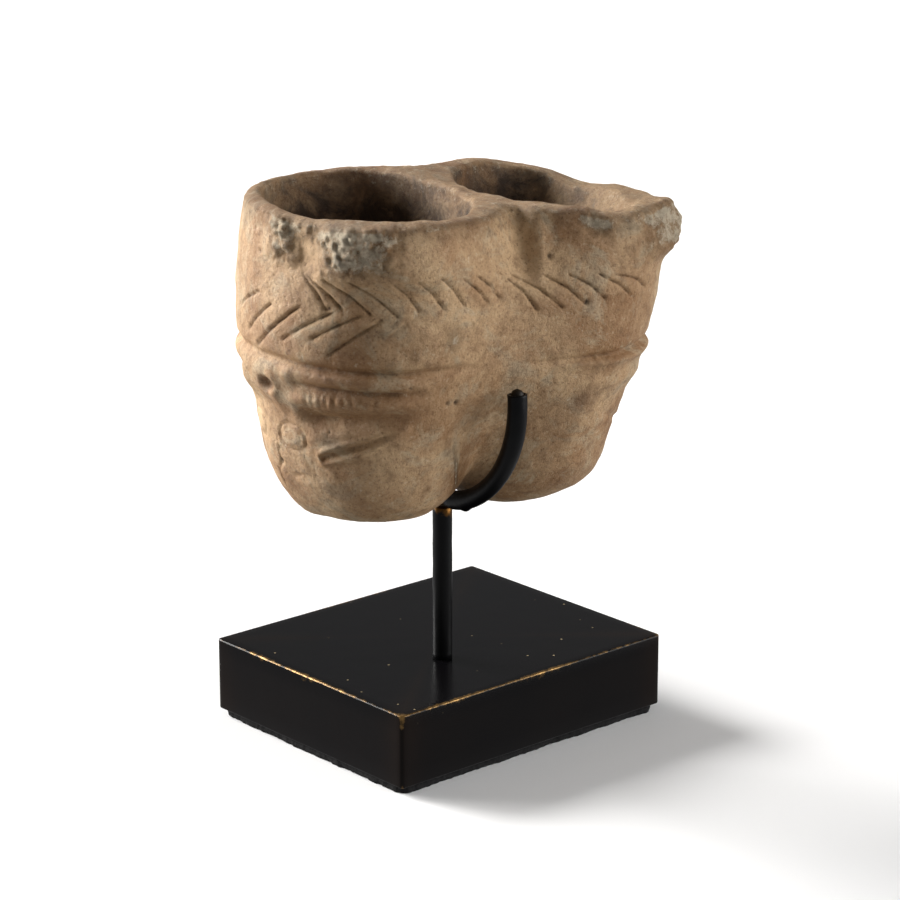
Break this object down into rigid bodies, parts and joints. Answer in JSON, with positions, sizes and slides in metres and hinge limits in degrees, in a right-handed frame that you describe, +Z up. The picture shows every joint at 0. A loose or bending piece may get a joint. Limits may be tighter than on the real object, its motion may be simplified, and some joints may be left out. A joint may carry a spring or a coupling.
{
  "type": "double kohl jar on mount",
  "caption": "Carved stone cosmetic jar with two wells side by side, held by a bent rod cradle on a post in a metal block.",
  "frame": {"origin": "centre of the felt pad's underside, where the mount stands", "axes": "+Z up, +X along the block's long side towards the jar's chipped right end, -Y to the carved front"},
  "size_m": [0.0745, 0.0612, 0.098],
  "materials": {
    "stone": "worn, slightly polished, with dirt in the cuts",
    "patina": "black patina, satin, worn to bare metal on the edges",
    "lacquer": "black lacquer, satin",
    "braze": "tarnished brass and braze",
    "shrink": "black shrink tube, satin",
    "felt": "black felt"
  },
  "bodies": {
    "root": {"jar": "stone", "base_block": "patina", "felt_pad": "felt", "post": "lacquer", "cradle": "braze", "sleeve_front": "shrink", "sleeve_back": "shrink"}
  },
  "joints": []
}
